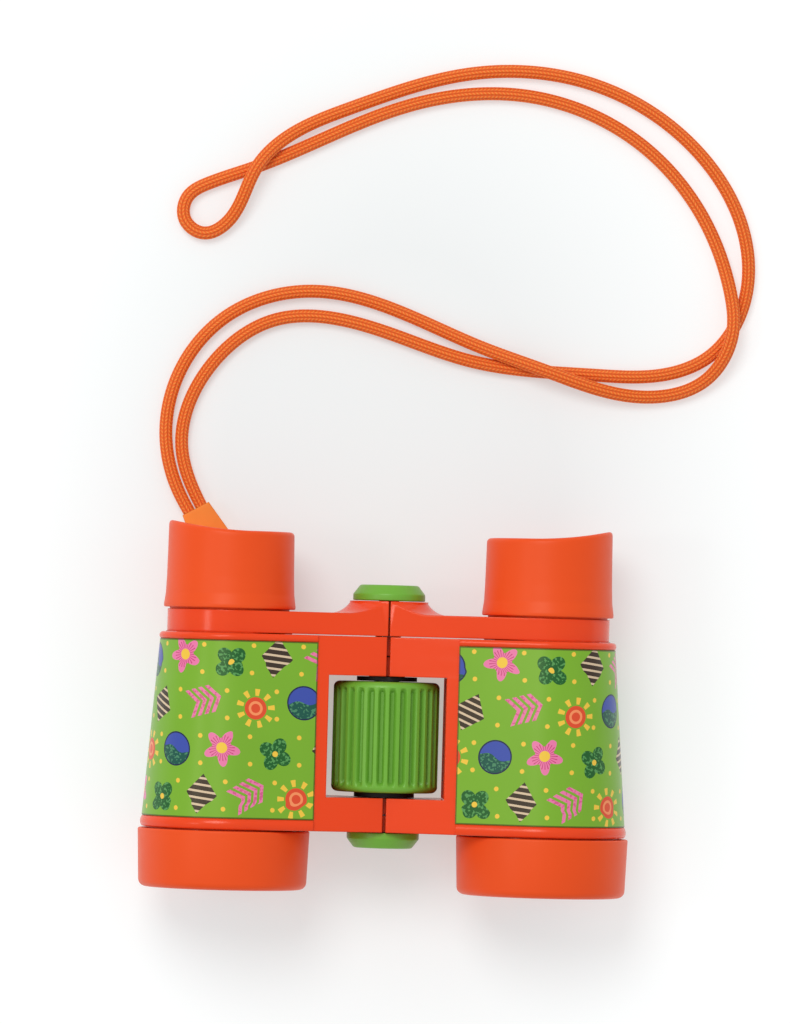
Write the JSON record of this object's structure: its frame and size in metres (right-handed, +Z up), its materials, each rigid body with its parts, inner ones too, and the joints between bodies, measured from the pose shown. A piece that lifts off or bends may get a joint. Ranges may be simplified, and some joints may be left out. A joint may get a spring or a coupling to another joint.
{
  "type": "toy binoculars",
  "caption": "Child's toy binoculars with a folding centre hinge, a ribbed focusing wheel that drives both eyepieces, soft eyecups and a neck cord on a rubber tab.",
  "frame": {"origin": "on the table under the middle of the binoculars, the cord left out", "axes": "+X to the right barrel, +Y along the barrels towards the eyepieces, +Z up from the table"},
  "size_m": [0.1431, 0.1971, 0.0405],
  "materials": {
    "body_plastic": "glossy red-orange moulding",
    "soft_orange": "matt orange soft plastic",
    "green_plastic": "satin green moulding",
    "label_print": "printed film, green ground with small bright motifs",
    "dark_plastic": "dull black moulding",
    "steel": "plain steel",
    "lens": "clear lens",
    "tab_rubber": "lighter orange rubber",
    "cord_braid": "braided orange cord with light flecks"
  },
  "bodies": {
    "left_half": {"left_barrel": "body_plastic", "left_label": "label_print", "left_objective_ring": "soft_orange", "left_objective_lens": "lens", "hinge_pin": "steel", "hinge_bush": "dark_plastic", "front_washer": "dark_plastic", "rear_washer": "dark_plastic", "front_disc": "steel", "front_disc_screw": "steel", "front_cap": "green_plastic", "cord_tab": "tab_rubber", "neck_cord": "cord_braid"},
    "right_half": {"right_barrel": "body_plastic", "right_label": "label_print", "right_objective_ring": "soft_orange", "right_objective_lens": "lens"},
    "wheel": {"focus_wheel": "green_plastic", "focus_nut": "dark_plastic"},
    "left_eyepiece": {"left_eyepiece_arm": "body_plastic", "left_eyepiece_tube": "dark_plastic", "left_eyecup": "soft_orange", "left_eye_lens": "lens", "left_eye_lens_ring": "dark_plastic", "focus_screw": "steel", "rear_disc": "steel", "rear_disc_screw": "steel", "rear_cap": "green_plastic"},
    "right_eyepiece": {"right_eyepiece_arm": "body_plastic", "right_eyepiece_tube": "dark_plastic", "right_eyecup": "soft_orange", "right_eye_lens": "lens", "right_eye_lens_ring": "dark_plastic"}
  },
  "joints": [
    {"name": "fold", "type": "hinge", "parent": "left_half", "child": "right_half", "pos_m": [0, 0, 0.02025], "axis": [0, 1, 0], "range_deg": [0, 80]},
    {"name": "focus_turn", "type": "hinge", "parent": "left_half", "child": "wheel", "pos_m": [0, -0.0067, 0.02025], "axis": [0, -1, 0], "range_deg": [0, 360]},
    {"name": "left_focus", "type": "slide", "parent": "left_half", "child": "left_eyepiece", "axis": [0, 1, 0], "range_m": [0, 0.005]},
    {"name": "right_focus", "type": "slide", "parent": "right_half", "child": "right_eyepiece", "axis": [0, 1, 0], "range_m": [0, 0.005]}
  ],
  "couplings": [
    {"joint": "focus_turn", "follows": "left_focus", "rad_per_m": 1256.6},
    {"joint": "right_focus", "follows": "left_focus", "ratio": 1}
  ]
}
